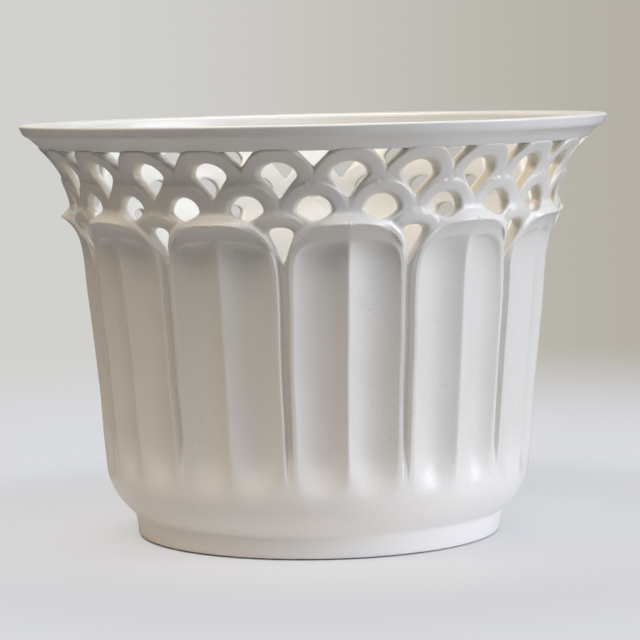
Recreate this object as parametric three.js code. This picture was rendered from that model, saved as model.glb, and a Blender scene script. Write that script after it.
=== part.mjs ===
// Pierced flower pot: a glazed earthenware pot with twelve fluted petals, a gallery of pierced scales
// above them, a flat turned-out rim and a plain turned foot. Millimetres, +Z up. The origin is under the
// middle of the foot, on the table, and the middle of one petal faces -Y.
import * as THREE from "three";

// Driving sizes: heights, from the table up
const FOOT_HEIGHT = 10.5;
const PETAL_STRAIGHT = 96.5; // straight part of a petal, from the foot to where its round top springs
const PETAL_ARCH = 27.8; // height of the petal's round top, where it meets the plain wall
const GALLERY_HEIGHT = 25.5; // pierced wall from the petal tops to the rim
const RIM_HEIGHT = 9.7;
const FLOOR_THICKNESS = 6;

// Driving sizes: radii
const RIM_RADIUS = 120;
const RIM_OVERHANG = 9; // how far the rim stands out past the top of the gallery
const NECK_RADIUS = 99.8; // plain wall between the petal tops and the flare
const BODY_FOOT_RADIUS = 84.7; // the petals' straight cone, carried down to the table
const NECK_FROM = 6; // the plain wall starts to widen to the neck this far above the spring of the round tops
const BODY_SETBACK = 3.4; // the same cone stands this far inside the neck, at the petals' curled lips
const FOOT_RADIUS = 75.8;
const FOOT_STEP = 1.3; // how far the body stands out over the foot
const FOOT_DRAW_IN = 1; // how much narrower the foot is on the table than under its flare
const FOOT_FLARE = 2.9; // top of the foot, where it turns out to meet the body
const FOOT_WIDTH = 8.3; // thickness of the foot ring under its flare

// Driving sizes: wall and relief
const WALL = 4.5;
const PETALS = 12;
const PETAL_RELIEF = 2.6; // petals stand this far in front of the plain wall
const GROOVE_WIDTH = 2.4; // plain strip between two petals, measured at the neck's radius
const FLUTE_DEPTH = 2.9;
const HALF_PETAL_HOLLOW = 0.4; // shallow hollow of each whole half petal, under its flute
const FLUTE_BORDER = 3; // rounded border from a petal's side to its flute
const FLUTE_TOP_BORDER = 8.8; // the same border over the round top of the flute
const LEDGE_SIDE = 1; // bevel round a petal, at its sides
const LEDGE_TOP = 2.8; // the same bevel over the petal's top
const LIP_CURL = 7.5; // how far the petal tops curl outwards, at their lips
const CURL_HEIGHT = 5;
const PETAL_SQUARENESS = 2.5; // of the petal's outline: 2 is an ellipse, and more has squarer shoulders
const LEDGE_SQUARENESS = 2.8;
const FLUTE_SQUARENESS = 4;
const FLUTE_BLUNTNESS = 6; // how far up a flute keeps its depth under its round top
const FLUTE_END = 0.7; // how steeply it then ends: 1 is soft and 0 a square step
const SHOULDER_TOP = 28.5; // height where the round shoulder ends and the straight cone begins
const SHOULDER_TURN = 36; // degrees of its quarter round that show above the foot
const FADE_FROM = 25; // flutes and grooves begin to show here
const FADE_TO = 41; // and have their full depth here
const COVE_RADIUS = 9; // inside, between floor and wall

// Driving sizes: gallery of pierced scales
const FLARE_HEIGHT = 23; // top part of the gallery, where the wall turns outwards
const FLARE_POWER = 1.8;
const STRAP_CROWN = 0.6; // straps are this much prouder along their middles than at the holes
const HOLE_WEB = 12.1; // clay between two neighbouring holes of one row
const FAN_TOP_GAP = 4.5; // from the rim down to the fan-shaped holes
const FAN_CROWN = 5.6;
const FAN_TAIL = 8.1;
const NOTCH_DEPTH = 5.8; // three-cornered openings right under the rim
const NOTCH_HALF_WIDTH = 5.5;
const ROUND_TOP_RISE = 8.1; // top of the round holes, above the petal tops
const ROUND_CROWN = 6.2;
const ROUND_TAIL = 3.4;
const ROUND_STRAP = 2.4; // from a round hole's top to the middle of the strap over it
const POINTED_TOP_DROP = 3.9; // top of the pointed holes, below the petal tops
const POINTED_CROWN = 2.9;
const POINTED_TAIL = 10.7;
const POINTED_HALF_WIDTH = 5;
const POINTED_STRAP = 2.1;
const SEAM_RISE = 6; // the petals' wall reaches this far above their spring line between two petals
const JOINT_GAP = 0.3;

// Driving sizes: rim and edges
const LIP_RADIUS = 2.4;
const LIP_LOW_ANGLE = -60; // degrees, where the rim's underside runs into its rounded edge
const RIM_INNER_ROUND = 2;
const RIM_INNER_RISE = 2.4; // how far the rim's inner face leans out on its way up
const FOOT_BEVEL = 0.9;

// Heights and widths that follow from them
const SPRING = FOOT_HEIGHT + PETAL_STRAIGHT;
const PETAL_TOP = SPRING + PETAL_ARCH;
const GALLERY_TOP = PETAL_TOP + GALLERY_HEIGHT;
const HEIGHT = GALLERY_TOP + RIM_HEIGHT;
const LIP_HEIGHT = PETAL_TOP - LEDGE_TOP;
const FLOOR_TOP = FOOT_HEIGHT + FLOOR_THICKNESS;
const GALLERY_RADIUS = RIM_RADIUS - RIM_OVERHANG;
const HALF_PITCH = (Math.PI * NECK_RADIUS) / PETALS; // half a petal and half a groove, at the neck
const SEAM = SPRING + SEAM_RISE;

// Counts of facets
const RING_FACETS = 6 * PETALS;
const ARC_STEPS = [0, 13, 26, 39, 54, 68]; // degrees along a petal's arch, before the groove's seam
const SCALE_FOOT_STEP = 3; // the pointed hole's arch lands on the petal at this one of them
const EDGE_STEPS = 2; // half the facets on each stretch of the rim's rounded edges
const TAIL_SHAPE = [[0, 1], [0.14, 0.96], [0.56, 0.5]]; // a hole's tail, in half widths and tail lengths

// Outlines

// A round-shouldered arch over a base line, by half width, height and squareness.
class Arch {
  constructor(halfWidth, height, power, base) {
    Object.assign(this, { halfWidth, height, power, base });
  }

  // The point at an angle in degrees: 0 is the top and 90 the foot of the arch.
  at(angle) {
    const turn = THREE.MathUtils.degToRad(angle);
    const share = 2 / this.power;
    return [
      this.halfWidth * Math.abs(Math.sin(turn)) ** share,
      this.base + this.height * Math.max(Math.cos(turn), 0) ** share,
    ];
  }

  halfWidthAt(z) {
    const rise = THREE.MathUtils.clamp((z - this.base) / this.height, 0, 1);
    return this.halfWidth * (1 - rise ** this.power) ** (1 / this.power);
  }

  // The arch's height above its base, at a distance from its middle.
  heightAt(s) {
    const share = Math.min(s / this.halfWidth, 1);
    return this.height * (1 - share ** this.power) ** (1 / this.power);
  }

  // The angle where the arch is a given height above its base.
  angleAt(rise) {
    return THREE.MathUtils.radToDeg(Math.acos((rise / this.height) ** (this.power / 2)));
  }

  grown(by) {
    return new Arch(this.halfWidth + by, this.height + by, this.power, this.base);
  }

  scaled(share) {
    return new Arch(this.halfWidth * share, this.height * share, this.power, this.base);
  }
}

const petalHalfWidth = HALF_PITCH - GROOVE_WIDTH / 2;
const petalArch = new Arch(petalHalfWidth, PETAL_ARCH, PETAL_SQUARENESS, SPRING);
const faceArch = new Arch(petalHalfWidth - LEDGE_SIDE, PETAL_ARCH - LEDGE_TOP, LEDGE_SQUARENESS, SPRING);
const fluteArch = new Arch(
  petalHalfWidth - FLUTE_BORDER,
  PETAL_ARCH - FLUTE_TOP_BORDER,
  FLUTE_SQUARENESS,
  SPRING,
);

// Radii of the surfaces at a height

function cone(z) {
  return THREE.MathUtils.lerp(BODY_FOOT_RADIUS, NECK_RADIUS - BODY_SETBACK, z / LIP_HEIGHT);
}

// How far the body's round shoulder draws in at a height, down to the top of the foot.
function shoulder(z) {
  const turn = Math.sin(THREE.MathUtils.degToRad(SHOULDER_TURN));
  const drop = THREE.MathUtils.clamp((SHOULDER_TOP - z) / (SHOULDER_TOP - FOOT_HEIGHT), 0, 1) * turn;
  const drawIn = cone(FOOT_HEIGHT) - FOOT_RADIUS - FOOT_STEP;
  return (drawIn * (1 - Math.sqrt(1 - drop * drop))) / (1 - Math.sqrt(1 - turn * turn));
}

const fade = (z) => THREE.MathUtils.smoothstep(z, FADE_FROM, FADE_TO);

// The plain wall: it shows in the grooves between the petals and carries the gallery.
function wallRadius(z) {
  const plain = cone(z) - shoulder(z) - PETAL_RELIEF * fade(z);
  if (z <= SPRING) return plain;
  const flare = THREE.MathUtils.clamp((z - GALLERY_TOP) / FLARE_HEIGHT + 1, 0, 1);
  const neck = NECK_RADIUS + (GALLERY_RADIUS - NECK_RADIUS) * flare ** FLARE_POWER;
  return THREE.MathUtils.lerp(plain, neck, THREE.MathUtils.smoothstep(z, SPRING + NECK_FROM, PETAL_TOP));
}

// The inner face of the wall, a wall's thickness behind the plain wall.
function innerRadius(z) {
  const step = 0.1;
  const slope = (wallRadius(z) - wallRadius(z - step)) / step;
  return wallRadius(z) - WALL * Math.hypot(1, slope);
}

// The face of a petal, s along the neck's circumference from the petal's middle.
function petalRadius(s, z) {
  const face = cone(z) + LIP_CURL * Math.exp((z - LIP_HEIGHT) / CURL_HEIGHT) - shoulder(z);
  const bowl = (halfWidth) => {
    const share = Math.min(s / Math.max(halfWidth, 1e-6), 1);
    return 4 * share * (1 - share);
  };
  const rise = Math.min(Math.max(z - SPRING, 0) / Math.max(fluteArch.heightAt(s), 1e-6), 1);
  const flute = FLUTE_DEPTH * bowl(fluteArch.halfWidth) * (1 - rise ** FLUTE_BLUNTNESS) ** FLUTE_END;
  return face - fade(z) * (flute + HALF_PETAL_HOLLOW * bowl(faceArch.halfWidthAt(z)));
}

// Sheets of wall

// A sheet is a patch of wall laid flat: corners [s, z, r] and triangles of corner numbers, counted
// anticlockwise as seen from outside the pot.
class Sheet {
  constructor() {
    this.corners = [];
    this.faces = [];
    this.numbers = new Map();
  }

  static key(s, z) {
    return Math.round(s * 1000) + " " + Math.round(z * 1000);
  }

  corner([s, z, r]) {
    const key = Sheet.key(s, z);
    if (!this.numbers.has(key)) {
      this.numbers.set(key, this.corners.length);
      this.corners.push([s, z, r]);
    }
    return this.numbers.get(key);
  }

  face(a, b, c) {
    if (a !== b && b !== c && c !== a) this.faces.push([a, b, c]);
  }

  // Fills between two rows of corners, the second one above the first or inside it. measure gives each
  // corner's place along its row, and the rows may have different numbers of corners.
  zip(low, high, measure) {
    const lower = low.map((p) => [this.corner(p), measure(p)]);
    const upper = high.map((p) => [this.corner(p), measure(p)]);
    let i = 0;
    let j = 0;
    while (i < lower.length - 1 || j < upper.length - 1) {
      const nextLow = i < lower.length - 1 ? (lower[i][1] + lower[i + 1][1]) / 2 : Infinity;
      const nextHigh = j < upper.length - 1 ? (upper[j][1] + upper[j + 1][1]) / 2 : Infinity;
      if (nextLow <= nextHigh) {
        this.face(lower[i][0], lower[i + 1][0], upper[j][0]);
        i += 1;
      } else {
        this.face(lower[i][0], upper[j + 1][0], upper[j][0]);
        j += 1;
      }
    }
  }

  // The half petal and its mirror image, all the way round the pot.
  allRound() {
    const ring = new Sheet();
    const around = 2 * HALF_PITCH * PETALS;
    for (let petal = 0; petal < PETALS; petal += 1) {
      for (const side of [1, -1]) {
        const numbers = this.corners.map(([s, z, r]) => {
          const along = 2 * HALF_PITCH * petal + side * s;
          const turns = Math.floor((along + 1e-4) / around);
          return ring.corner([along - turns * around, z, r]);
        });
        for (const [a, b, c] of this.faces) {
          if (side > 0) ring.face(numbers[a], numbers[b], numbers[c]);
          else ring.face(numbers[a], numbers[c], numbers[b]);
        }
      }
    }
    return ring;
  }
}

// A closed solid between an outer and an inner sheet whose open edges lie over each other.
function solidBetween(outer, inner) {
  const positions = [];
  for (const [s, z, r] of [...outer.corners, ...inner.corners]) {
    const turn = s / NECK_RADIUS;
    positions.push(r * Math.sin(turn), -r * Math.cos(turn), z);
  }
  const behind = (n) => {
    const [s, z] = outer.corners[n];
    return outer.corners.length + inner.numbers.get(Sheet.key(s, z));
  };
  const index = outer.faces.flat();
  for (const face of inner.faces) {
    const [a, b, c] = face.map((n) => n + outer.corners.length);
    index.push(a, c, b);
  }
  const edgesOf = ([a, b, c]) => [[a, b], [b, c], [c, a]];
  const edges = outer.faces.flatMap(edgesOf);
  const present = new Set(edges.map(([a, b]) => a + " " + b));
  for (const [a, b] of edges) {
    if (present.has(b + " " + a)) continue;
    index.push(b, a, behind(a));
    index.push(b, behind(a), behind(b));
  }
  const geometry = new THREE.BufferGeometry();
  geometry.setAttribute("position", new THREE.Float32BufferAttribute(positions, 3));
  geometry.setIndex(index);
  geometry.computeVertexNormals();
  return geometry;
}

const along = ([s]) => s;

// Petal wall

function petalSheet() {
  const sheet = new Sheet();
  const face = ([s, z]) => [s, z, petalRadius(s, z)];
  const wall = ([s, z]) => [s, z, wallRadius(z)];
  const rings = [fluteArch.scaled(0.25), fluteArch.scaled(0.5), fluteArch.scaled(0.75), fluteArch, faceArch];
  const between = THREE.MathUtils.lerp;
  const levels = [
    FOOT_HEIGHT,
    ...[0.15, 0.4, 0.75].map((share) => between(FOOT_HEIGHT, FADE_FROM, share)),
    ...[0.2, 0.6].map((share) => between(FADE_FROM, FADE_TO, share)),
    FADE_TO,
    between(FADE_TO, SPRING, 0.5),
    SPRING,
  ];
  const seamAngle = petalArch.angleAt(SEAM_RISE);
  const angles = [...ARC_STEPS, seamAngle, 90];

  // Straight part: the face, the bevel at its side and half the groove.
  const rows = levels.map((z) => [
    face([0, z]),
    ...rings.map((ring) => face([ring.halfWidth, z])),
    wall([petalArch.halfWidth, z]),
    wall([HALF_PITCH, z]),
  ]);
  rows.slice(1).forEach((row, i) => sheet.zip(rows[i], row, along));

  // Round top: rings that follow the arch, from the spring line's middle outwards.
  const ringPoints = (ring) => angles.map((angle) => face(ring.at(angle)));
  const nested = [
    angles.map(() => face([0, SPRING])),
    ...rings.map(ringPoints),
    angles.map((angle) => wall(petalArch.at(angle))),
  ];
  const turn = new Map();
  nested.slice(1).forEach((outside, i) => {
    outside.forEach((p, step) => turn.set(p, step));
    nested[i].forEach((p, step) => turn.set(p, step));
    sheet.zip(nested[i], outside, (p) => turn.get(p));
  });

  // Top of the groove, up to the seam with the gallery.
  const spring = [wall([petalArch.halfWidth, SPRING]), wall([HALF_PITCH, SPRING])];
  const seam = [wall(petalArch.at(seamAngle)), wall([HALF_PITCH, SEAM])];
  sheet.zip(spring, seam, along);
  return sheet;
}

function petalLining(outer) {
  const sheet = new Sheet();
  const corner = (s, z, r) => [s, z, r];
  const floorCorner = innerRadius(FLOOR_TOP + COVE_RADIUS) - COVE_RADIUS;
  const coarse = [0, petalHalfWidth / 2, petalHalfWidth, HALF_PITCH];
  const bottom = outer.corners.filter(([, z]) => z === FOOT_HEIGHT).sort((a, b) => a[0] - b[0]);
  const rows = [bottom.map(([s, z]) => corner(s, z, floorCorner))];
  rows.push(coarse.map((s) => corner(s, FLOOR_TOP, floorCorner)));
  for (const angle of [30, 60]) {
    const turn = THREE.MathUtils.degToRad(angle);
    const z = FLOOR_TOP + COVE_RADIUS * (1 - Math.cos(turn));
    rows.push(coarse.map((s) => corner(s, z, floorCorner + COVE_RADIUS * Math.sin(turn))));
  }
  for (const z of [FLOOR_TOP + COVE_RADIUS, SHOULDER_TOP, FADE_TO, SPRING]) {
    rows.push(coarse.map((s) => corner(s, z, innerRadius(z))));
  }
  const seamAngle = petalArch.angleAt(SEAM_RISE);
  const top = [...ARC_STEPS, seamAngle].map((angle) => petalArch.at(angle));
  rows.push([...top, [HALF_PITCH, SEAM]].map(([s, z]) => corner(s, z, innerRadius(z))));
  rows.slice(1).forEach((row, i) => sheet.zip(rows[i], row, along));
  return sheet;
}

// Scale gallery

// Half or whole outline of a hole: a half-ellipse crown over a tail that runs down to a point.
function holeOutline(middle, top, halfWidth, crown, tail, sides) {
  const waist = top - crown;
  const half = [
    ...TAIL_SHAPE.map(([across, down]) => [halfWidth * across, waist - tail * down]),
    ...[0, 30, 60, 90].map((angle) => {
      const turn = THREE.MathUtils.degToRad(angle);
      return [halfWidth * Math.cos(turn), waist + crown * Math.sin(turn)];
    }),
  ];
  const right = half.map(([s, z]) => [middle + s, z]);
  const left = half.map(([s, z]) => [middle - s, z]);
  if (sides === "right") return right;
  if (sides === "left") return left.reverse();
  return [...right, ...left.reverse().slice(1)];
}

// A quarter arch between two corners of the strap net, from its foot up to its top.
function strapArch([footS, footZ], [topS, topZ], steps) {
  return Array.from({ length: steps + 1 }, (_, i) => {
    const turn = (Math.PI / 2) * (i / steps);
    return [topS + (footS - topS) * Math.cos(turn), footZ + (topZ - footZ) * Math.sin(turn)];
  });
}

function gallerySheet(radius) {
  const sheet = new Sheet();
  const edge = petalArch.grown(JOINT_GAP);
  const seamAngle = edge.angleAt(SEAM_RISE + JOINT_GAP);
  const footing = [...ARC_STEPS, seamAngle].map((angle) => edge.at(angle));
  footing.push([HALF_PITCH, SEAM + JOINT_GAP]);
  const middle = HALF_PITCH / 2;
  const holeHalfWidth = (HALF_PITCH - HOLE_WEB) / 2;
  const fanTop = GALLERY_TOP - FAN_TOP_GAP;
  const fanTip = fanTop - FAN_CROWN - FAN_TAIL;
  const roundTop = PETAL_TOP + ROUND_TOP_RISE;
  const pointedTop = PETAL_TOP - POINTED_TOP_DROP;

  // Corners of the net of straps
  const crossing = (fanTip + roundTop - ROUND_CROWN) / 2;
  const roundStrapTop = [middle, roundTop + ROUND_STRAP];
  const pointedStrapTop = [HALF_PITCH, pointedTop + POINTED_STRAP];
  const notchTip = [middle, GALLERY_TOP - NOTCH_DEPTH];
  const notchCorner = [middle - NOTCH_HALF_WIDTH, GALLERY_TOP];
  const mirrored = ([s, z]) => [HALF_PITCH - s, z];
  const scaleFoot = footing[SCALE_FOOT_STEP];

  const leftScale = strapArch([0, crossing], roundStrapTop, 4);
  const rightScale = leftScale.map(mirrored);
  const lowScale = strapArch(scaleFoot, pointedStrapTop, 3);
  const notchSide = [notchTip, [middle - NOTCH_HALF_WIDTH / 2, GALLERY_TOP - NOTCH_DEPTH / 2], notchCorner];
  const scaleTop = [[(middle - NOTCH_HALF_WIDTH) / 2, GALLERY_TOP], [0, GALLERY_TOP]];
  const web = [[middle, (roundStrapTop[1] + notchTip[1]) / 2]];

  const plainEdges = [...footing, ...notchSide, ...scaleTop, pointedStrapTop];
  const onPlainEdge = new Set(plainEdges.map(([s, z]) => Sheet.key(s, z)));
  const strap = ([s, z]) => [s, z, radius(z, onPlainEdge.has(Sheet.key(s, z)) ? 0 : 1)];
  const rimOfHole = ([s, z]) => [s, z, radius(z, 0)];

  // Fills between a hole and the strap lines round it, both taken anticlockwise.
  const fill = (hole, straps, [middleS, middleZ], start) => {
    const angle = ([s, z]) => {
      const turn = Math.atan2(z - middleZ, s - middleS) - start;
      return turn < -1e-6 ? turn + 2 * Math.PI : turn;
    };
    const closing = new Set([straps.at(-1), hole.at(-1)]);
    const whole = Sheet.key(...straps[0]) === Sheet.key(...straps.at(-1));
    const place = new Map();
    for (const p of [...straps, ...hole]) place.set(p, whole && closing.has(p) ? 2 * Math.PI : angle(p));
    const outsideRow = straps.map((p) => Object.assign(strap(p), { place: place.get(p) }));
    const holeRow = hole.map((p) => Object.assign(rimOfHole(p), { place: place.get(p) }));
    sheet.zip(outsideRow, holeRow, (p) => p.place);
  };

  // Fan-shaped holes, over a petal's middle and over a groove
  const fanOutline = [...leftScale, ...web, ...notchSide, ...scaleTop];
  const fanMiddle = fanTop - FAN_CROWN;
  fill(
    holeOutline(0, fanTop, holeHalfWidth, FAN_CROWN, FAN_TAIL, "right"),
    fanOutline,
    [0, fanMiddle],
    -Math.PI / 2,
  );
  fill(
    holeOutline(HALF_PITCH, fanTop, holeHalfWidth, FAN_CROWN, FAN_TAIL, "left"),
    fanOutline.map(mirrored).reverse(),
    [HALF_PITCH, fanMiddle],
    Math.PI / 2,
  );

  // Round holes over the petals' shoulders
  const round = holeOutline(middle, roundTop, holeHalfWidth, ROUND_CROWN, ROUND_TAIL, "both");
  const roundMiddle = [middle, roundTop - ROUND_CROWN];
  const overPetal = footing.slice(0, SCALE_FOOT_STEP + 1);
  const roundStraps = [
    ...overPetal,
    ...lowScale.slice(1),
    ...rightScale,
    ...[...leftScale].reverse().slice(1),
    [...overPetal[0]],
  ];
  const roundStart = Math.atan2(overPetal[0][1] - roundMiddle[1], overPetal[0][0] - roundMiddle[0]);
  fill(startedAt(round, roundMiddle, roundStart), roundStraps, roundMiddle, roundStart);

  // Pointed holes over the grooves
  const pointedMiddle = [HALF_PITCH, pointedTop - POINTED_CROWN];
  fill(
    holeOutline(HALF_PITCH, pointedTop, POINTED_HALF_WIDTH, POINTED_CROWN, POINTED_TAIL, "left"),
    [...[...lowScale].reverse(), ...footing.slice(SCALE_FOOT_STEP + 1)],
    pointedMiddle,
    Math.PI / 2,
  );
  return sheet;
}

// The closed outline, turned so that it begins and ends at the corner next after a given angle.
function startedAt(outline, [middleS, middleZ], start) {
  const open = outline.slice(0, -1);
  const turns = open.map(([s, z]) => {
    const turn = Math.atan2(z - middleZ, s - middleS) - start;
    return turn < -1e-6 ? turn + 2 * Math.PI : turn;
  });
  const first = turns.indexOf(Math.min(...turns));
  const turned = [...open.slice(first), ...open.slice(0, first)];
  return [...turned, [...turned[0]]];
}

// Turned pieces

function turned(path, steps) {
  const profile = path.getPoints(steps);
  const geometry = new THREE.LatheGeometry(profile, RING_FACETS);
  return geometry.rotateX(Math.PI / 2);
}

function rimGeometry() {
  const inner = innerRadius(GALLERY_TOP);
  const lipMiddle = RIM_RADIUS - LIP_RADIUS;
  const low = THREE.MathUtils.degToRad(LIP_LOW_ANGLE);
  const innerTop = inner + RIM_INNER_RISE + RIM_INNER_ROUND;
  const path = new THREE.Path();
  path.moveTo(inner, GALLERY_TOP);
  path.lineTo(GALLERY_RADIUS, GALLERY_TOP);
  path.absarc(lipMiddle, HEIGHT - LIP_RADIUS, LIP_RADIUS, low, 0, false);
  path.absarc(lipMiddle, HEIGHT - LIP_RADIUS, LIP_RADIUS, 0, Math.PI / 2, false);
  path.absarc(innerTop, HEIGHT - RIM_INNER_ROUND, RIM_INNER_ROUND, Math.PI / 2, Math.PI, false);
  path.lineTo(inner, GALLERY_TOP);
  return turned(path, EDGE_STEPS);
}

function footGeometry() {
  const inner = FOOT_RADIUS - FOOT_WIDTH;
  const low = FOOT_RADIUS - FOOT_DRAW_IN;
  const path = new THREE.Path();
  path.moveTo(inner, FOOT_HEIGHT);
  path.lineTo(inner, FOOT_BEVEL);
  path.lineTo(inner + FOOT_BEVEL, 0);
  path.lineTo(low - FOOT_BEVEL, 0);
  path.lineTo(low, FOOT_BEVEL);
  path.lineTo(FOOT_RADIUS, FOOT_HEIGHT - FOOT_FLARE);
  path.lineTo(FOOT_RADIUS + FOOT_STEP / 3, FOOT_HEIGHT - FOOT_FLARE / 3);
  path.lineTo(FOOT_RADIUS + FOOT_STEP, FOOT_HEIGHT);
  path.lineTo(inner, FOOT_HEIGHT);
  return turned(path, 1);
}

function floorGeometry() {
  const radius = innerRadius(FLOOR_TOP + COVE_RADIUS) - COVE_RADIUS - JOINT_GAP;
  const path = new THREE.Path();
  path.moveTo(0, FOOT_HEIGHT);
  path.lineTo(radius, FOOT_HEIGHT);
  path.lineTo(radius, FLOOR_TOP);
  path.lineTo(0, FLOOR_TOP);
  return turned(path, 1);
}

// Assembly

function piece(name, geometry, color, roughness) {
  const material = new THREE.MeshStandardMaterial({ color, roughness, metalness: 0 });
  const mesh = new THREE.Mesh(geometry, material);
  mesh.name = name;
  return mesh;
}

const petals = petalSheet();
const petalWall = solidBetween(petals.allRound(), petalLining(petals).allRound());
const galleryOutside = gallerySheet((z, crown) => wallRadius(z) + STRAP_CROWN * crown);
const galleryInside = gallerySheet((z) => innerRadius(z));
const scaleGallery = solidBetween(galleryOutside.allRound(), galleryInside.allRound());

const pot = new THREE.Group();
pot.add(piece("foot_ring", footGeometry(), 0xe9e5da, 0.3));
pot.add(piece("floor_disc", floorGeometry(), 0xebe6da, 0.25));
pot.add(piece("petal_wall", petalWall, 0xece9e0, 0.15));
pot.add(piece("scale_gallery", scaleGallery, 0xeeeae0, 0.15));
pot.add(piece("rim_flange", rimGeometry(), 0xefece3, 0.15));

export default pot;
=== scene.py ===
import math
import bmesh
import bpy
import numpy as np
from mathutils import Matrix, Vector


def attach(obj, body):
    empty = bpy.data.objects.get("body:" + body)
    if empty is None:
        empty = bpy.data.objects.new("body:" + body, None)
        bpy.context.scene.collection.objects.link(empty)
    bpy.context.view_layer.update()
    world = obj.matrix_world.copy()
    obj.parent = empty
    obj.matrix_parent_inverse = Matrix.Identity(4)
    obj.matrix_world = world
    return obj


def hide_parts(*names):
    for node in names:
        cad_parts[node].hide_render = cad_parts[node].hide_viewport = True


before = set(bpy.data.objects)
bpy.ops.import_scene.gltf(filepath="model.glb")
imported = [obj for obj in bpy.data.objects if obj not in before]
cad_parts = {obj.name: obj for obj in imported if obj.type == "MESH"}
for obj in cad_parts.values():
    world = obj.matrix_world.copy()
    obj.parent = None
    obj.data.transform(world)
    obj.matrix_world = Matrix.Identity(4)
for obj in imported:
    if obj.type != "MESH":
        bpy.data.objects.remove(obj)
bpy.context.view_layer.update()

MM = 0.001

# Sizes of the pot, in millimetres
HEIGHT = 170.0
FOOT_HEIGHT = 10.5
SPRING = 107.0  # the petals' round tops start here
PETAL_ARCH = 27.8
PETAL_TOP = SPRING + PETAL_ARCH
GALLERY_TOP = 160.3
SEAM = SPRING + 6.0
LEDGE_TOP = 2.8
LIP_HEIGHT = PETAL_TOP - LEDGE_TOP
FLOOR_TOP = 16.5
COVE_RADIUS = 9.0
RIM_RADIUS = 120.0
GALLERY_RADIUS = 111.0
NECK_RADIUS = 99.8
NECK_FROM = 6.0  # the plain wall starts to widen to the neck this far above the round tops' spring
BODY_FOOT_RADIUS = 84.7
BODY_SETBACK = 3.4  # at the height of its lips the petals' cone is this much narrower than the neck
BODY_LIP_RADIUS = NECK_RADIUS - BODY_SETBACK
FOOT_RADIUS = 75.8
FOOT_STEP = 1.3
FOOT_DRAW_IN = 1.0
FOOT_WIDTH = 8.3
COVE_FROM = 7.6  # height where the foot starts to flare into the body
WALL = 4.5
PETALS = 12
PETAL_RELIEF = 2.6
GROOVE_WIDTH = 2.4
LEDGE_SIDE = 1.0
FLUTE_BORDER = 3.0  # rounded border from a petal's side to its flutes
FLUTE_TOP_BORDER = 8.8  # the same border over the flutes' round top
PETAL_SQUARENESS = 2.5  # 2 is an ellipse, and more has squarer shoulders
LEDGE_SQUARENESS = 2.8
FLUTE_SQUARENESS = 4.0
FLUTE_DEPTH = 2.9
HALF_PETAL_HOLLOW = 0.4
LIP_CURL = 7.5
CURL_HEIGHT = 5.0
SHOULDER_TOP = 28.5
SHOULDER_TURN = math.radians(36)
FADE_FROM, FADE_TO = 21.0, 41.0
GROOVE_ENDS_ABOVE = 8.0  # the grooves end this much higher than the flutes
FLUTE_BLUNTNESS = 6  # how far up a flute keeps its depth under its round top
FLUTE_END = 0.7  # how steeply it then ends: 1 is soft and 0 a square step
FLUTE_ROUND = 5.0  # how much higher a flute ends at its sides than in its middle
GROOVE_NARROWS = 0.3  # share of its width that a groove loses towards its foot
GROOVE_FULL_FROM = 78.0  # from this height up a groove has its full width
FLARE_HEIGHT, FLARE_POWER = 23.0, 1.8
HALF_PITCH = math.pi * NECK_RADIUS / PETALS
MIDDLE = HALF_PITCH / 2

# Soft edges, as the glaze leaves them, in millimetres
RIDGE_SOFTNESS = 0.45
LIP_SOFTNESS = 0.35
LEDGE_HOLLOW = 1.15
FILLET_HEIGHT = 1.5  # over a petal's top the ledge runs up into the gallery
FILLET_REACH = 3.0
HOLE_EDGE = 1.35
HOLE_EDGE_INSIDE = 0.8
POOL_AT_LEDGE = 0.35
POOL_LOST = 0.6  # share of that pool that is gone in the middle of a groove
POOL_INSIDE = 0.15
STRAP_CROWN = 0.3  # how much higher a strap is in its middle than beside a hole
TUCK_UNDER = 0.8  # how far the gallery runs in behind the petals
LINING_DEPTH = 0.7  # corners deeper than this share of the wall count as inside
CORNERS_PER_MM = 2000  # corners that round to the same one are welded


def clamp01(x):
    return np.clip(x, 0.0, 1.0)


def smoothstep(x, low, high):
    t = clamp01((np.asarray(x, float) - low) / (high - low))
    return t * t * (3 - 2 * t)


def cone(z):
    return BODY_FOOT_RADIUS + (BODY_LIP_RADIUS - BODY_FOOT_RADIUS) * z / LIP_HEIGHT


def shoulder(z):
    turn = math.sin(SHOULDER_TURN)
    drop = clamp01((SHOULDER_TOP - z) / (SHOULDER_TOP - FOOT_HEIGHT)) * turn
    draw_in = cone(FOOT_HEIGHT) - FOOT_RADIUS - FOOT_STEP
    return draw_in * (1 - np.sqrt(1 - drop**2)) / (1 - math.sqrt(1 - turn**2))


def fade(z):
    return smoothstep(z, FADE_FROM, FADE_TO)


def groove_fade(z):
    return smoothstep(z, FADE_FROM + GROOVE_ENDS_ABOVE, FADE_TO + GROOVE_ENDS_ABOVE)


def near_top(z):
    """0 beside the straight part of a petal, and 1 from well up its round top."""
    return smoothstep(z, SPRING + 4, SPRING + 18)


def groove_pool(share):
    """Pooled glaze value across a groove, from a petal's edge at 0 to the groove's middle at 1."""
    return POOL_AT_LEDGE * (1 - POOL_LOST * np.asarray(share))


def wall_radius(z):
    z = np.asarray(z, float)
    plain = cone(z) - shoulder(z) - PETAL_RELIEF * groove_fade(z)
    flare = clamp01((z - GALLERY_TOP) / FLARE_HEIGHT + 1)
    neck = NECK_RADIUS + (GALLERY_RADIUS - NECK_RADIUS) * flare**FLARE_POWER
    share = smoothstep(z, SPRING + NECK_FROM, PETAL_TOP)
    return plain * (1 - share) + neck * share


def wall_slope(z):
    step = 0.1
    return (wall_radius(z) - wall_radius(np.asarray(z, float) - step)) / step


def inner_radius(z):
    return wall_radius(z) - WALL * np.hypot(1, wall_slope(z))


# Outlines on the wall, s round the neck from a petal's middle and z up


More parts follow.
